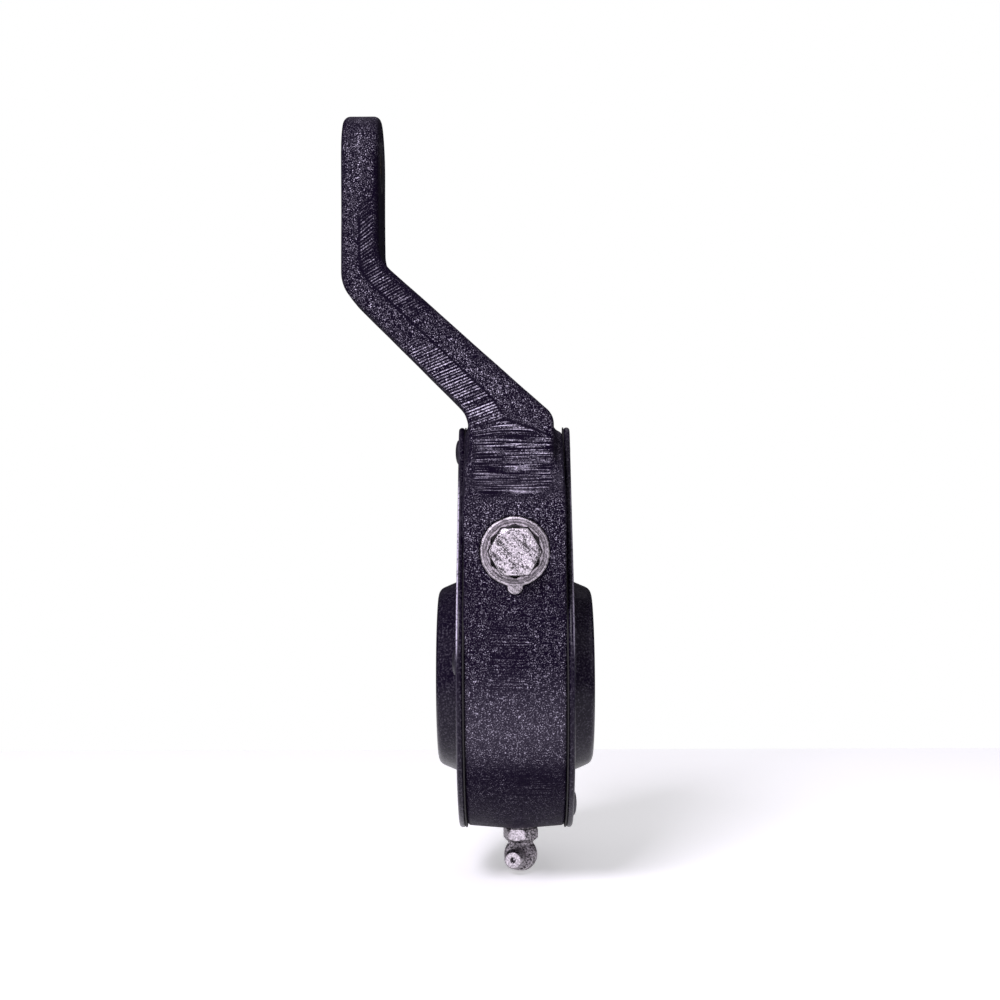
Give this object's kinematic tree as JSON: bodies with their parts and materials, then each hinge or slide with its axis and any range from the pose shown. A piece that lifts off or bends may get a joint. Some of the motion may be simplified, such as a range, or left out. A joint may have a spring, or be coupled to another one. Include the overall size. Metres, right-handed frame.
{
  "type": "brake slack adjuster",
  "caption": "Manual slack adjuster lever: offset forged arm with bushed clevis hole, splined worm wheel in a riveted housing, worm with hex and sprung lock sleeve, grease fitting.",
  "frame": {"origin": "centre of the splined camshaft bore, in the body's middle plane", "axes": "+X along the camshaft bore, away from the arm's offset; +Y along the worm, away from its hex; +Z along the arm, towards the clevis hole"},
  "size_m": [0.0794, 0.1005, 0.2445],
  "materials": {
    "black_paint": "satin black paint over a forged skin",
    "cover_paint": "satin black paint over pressed sheet",
    "zinc_plate": "zinc-plated, turned",
    "fitting_zinc": "dull zinc-plated",
    "gear_steel": "machined steel with a film of grease",
    "spring_steel": "drawn wire",
    "bronze": "sintered bronze",
    "seal_rubber": "moulded rubber",
    "gasket": "pressed fibre sheet"
  },
  "bodies": {
    "housing": {"body": "black_paint", "clevis_bushing": "bronze", "left_cover": "cover_paint", "right_cover": "cover_paint", "left_gasket": "gasket", "right_gasket": "gasket", "left_hub_seal": "seal_rubber", "right_hub_seal": "seal_rubber", "cover_rivets": "cover_paint", "front_thrust_washer": "bronze", "rear_thrust_washer": "bronze", "rear_bushing": "bronze", "worm_end_plug": "cover_paint", "lock_spring": "spring_steel", "spring_seat": "spring_steel", "grease_fitting": "fitting_zinc", "grease_ball_spring": "spring_steel"},
    "adjusting_shaft": {"worm": "gear_steel", "worm_shaft": "zinc_plate", "shaft_seal": "seal_rubber"},
    "wheel": {"worm_wheel": "gear_steel"},
    "lock": {"lock_sleeve": "zinc_plate"},
    "check_ball": {"grease_check_ball": "spring_steel"}
  },
  "joints": [
    {"name": "worm_spin", "type": "hinge", "parent": "housing", "child": "adjusting_shaft", "pos_m": [0, 0, 0.0415], "axis": [0, 1, 0], "continuous": true},
    {"name": "wheel_spin", "type": "hinge", "parent": "housing", "child": "wheel", "pos_m": [0, 0, 0], "axis": [1, 0, 0], "continuous": true},
    {"name": "lock_slide", "type": "slide", "parent": "housing", "child": "lock", "axis": [0, -1, 0], "range_m": [0, 0.0045], "stiffness_N_per_m": 600, "springref_m": 0.008, "deforming": ["lock_spring"]},
    {"name": "check_ball_slide", "type": "slide", "parent": "housing", "child": "check_ball", "axis": [0.2419, 0.9703, 0], "range_m": [0, 0.001], "stiffness_N_per_m": 200, "springref_m": -0.0005, "deforming": ["grease_ball_spring"]}
  ],
  "couplings": [
    {"joint": "wheel_spin", "follows": "worm_spin", "ratio": 0.04}
  ]
}
